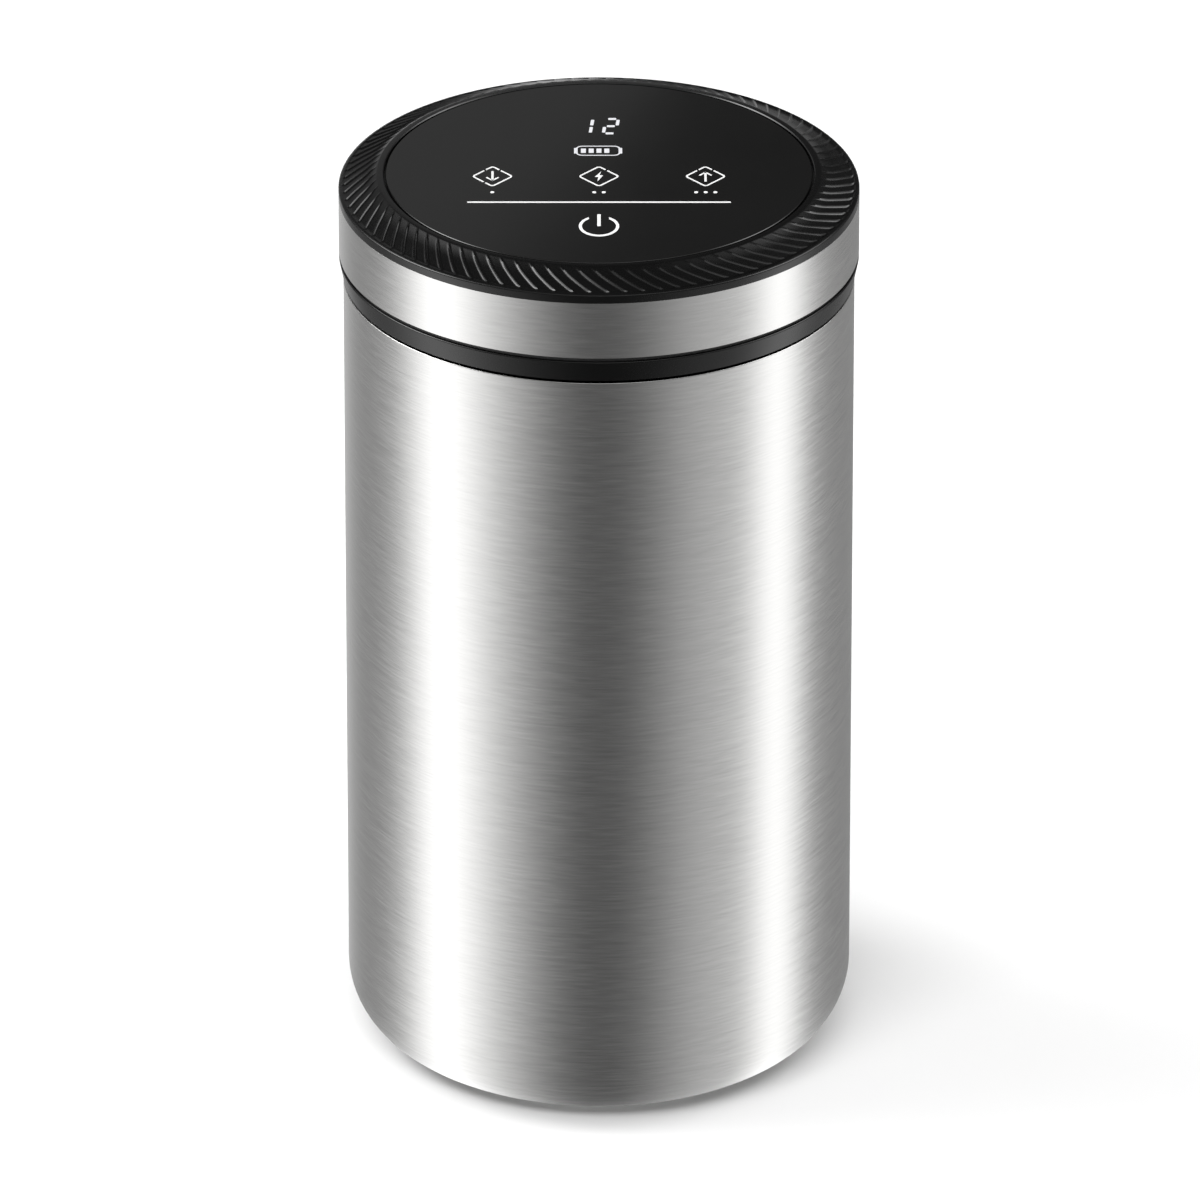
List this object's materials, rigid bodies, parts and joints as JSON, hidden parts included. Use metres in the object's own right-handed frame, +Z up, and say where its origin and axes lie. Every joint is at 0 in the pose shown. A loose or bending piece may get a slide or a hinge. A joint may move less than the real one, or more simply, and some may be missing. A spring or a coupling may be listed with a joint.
{
  "type": "vacuum seal canister",
  "caption": "Upright round steel food canister with a black collar and a lift-off lid that holds a touch panel, a swirl-ribbed ring and a rechargeable vacuum pump.",
  "frame": {"origin": "centre of the base, on the plane that the canister stands on", "axes": "+Z up along the can's axis, -Y towards the side from which the touch panel reads upright, charging socket towards +Y"},
  "size_m": [0.12, 0.12, 0.219],
  "materials": {
    "brushed_can": "fine horizontal brushing",
    "brushed_band": "fine horizontal brushing, polished edges",
    "satin_black": "satin moulded",
    "collar_black": "satin moulded",
    "panel_black": "smooth dark touch panel with printed marks",
    "housing_black": "moulded",
    "silicone": "soft silicone",
    "silicone_clear": "translucent silicone",
    "foam": "open foam",
    "cap_grey": "moulded",
    "board_green": "solder mask",
    "display_black": "smooth",
    "steel": "bright plated",
    "cell_wrap": "shrink sleeve",
    "pump_white": "moulded",
    "brass": "turned",
    "coil_copper": "enamelled winding"
  },
  "bodies": {
    "canister": {"container_body": "brushed_can", "mouth_collar": "collar_black"},
    "lid": {"lid_band": "brushed_band", "ribbed_ring": "satin_black", "touch_panel": "panel_black", "lid_housing": "housing_black", "lid_base": "housing_black", "lid_gasket": "silicone", "filter_disc": "foam", "control_board": "board_green", "display_module": "display_black", "touch_springs": "steel", "charging_socket": "steel", "battery_cell": "cell_wrap", "battery_tray": "housing_black", "motor_can": "steel", "motor_end_cap": "housing_black", "motor_sleeve": "silicone", "motor_strap": "steel", "pump_crankcase": "pump_white", "pump_diaphragm": "silicone", "pump_valve_plate": "pump_white", "pump_cover": "pump_white", "lid_screws": "steel", "board_screws": "steel", "strap_screws": "steel", "pump_screws": "steel", "manifold_seal": "silicone", "valve_manifold": "pump_white", "pressure_sensor": "display_black", "sensor_hose": "silicone_clear", "suction_hose": "silicone_clear", "release_spring": "steel", "solenoid_frame": "steel", "solenoid_coil": "coil_copper"},
    "filter_cap": {"filter_cap": "cap_grey"},
    "pump_rotor": {"motor_shaft": "steel", "crank_eccentric": "brass"},
    "pump_rod": {"pump_rod": "pump_white"},
    "release_valve": {"release_plunger": "steel", "release_pad": "silicone"}
  },
  "joints": [
    {"name": "lid_lift", "type": "slide", "parent": "canister", "child": "lid", "axis": [0, 0, 1], "range_m": [0, 0.08]},
    {"name": "filter_cap_turn", "type": "hinge", "parent": "lid", "child": "filter_cap", "pos_m": [0.035, -0.001, 0.179], "axis": [0, 0, 1], "range_deg": [0, 50]},
    {"name": "rotor_spin", "type": "hinge", "parent": "lid", "child": "pump_rotor", "pos_m": [0, 0.014, 0.1956], "axis": [1, 0, 0], "continuous": true},
    {"name": "rod_stroke", "type": "slide", "parent": "lid", "child": "pump_rod", "axis": [0, 0, 1], "range_m": [-0.0007, 0.0007], "stiffness_N_per_m": 300, "deforming": ["pump_diaphragm"]},
    {"name": "release_lift", "type": "slide", "parent": "lid", "child": "release_valve", "axis": [0, 0, 1], "range_m": [0, 0.0015], "stiffness_N_per_m": 250, "springref_m": -0.002, "deforming": ["release_spring"]}
  ]
}
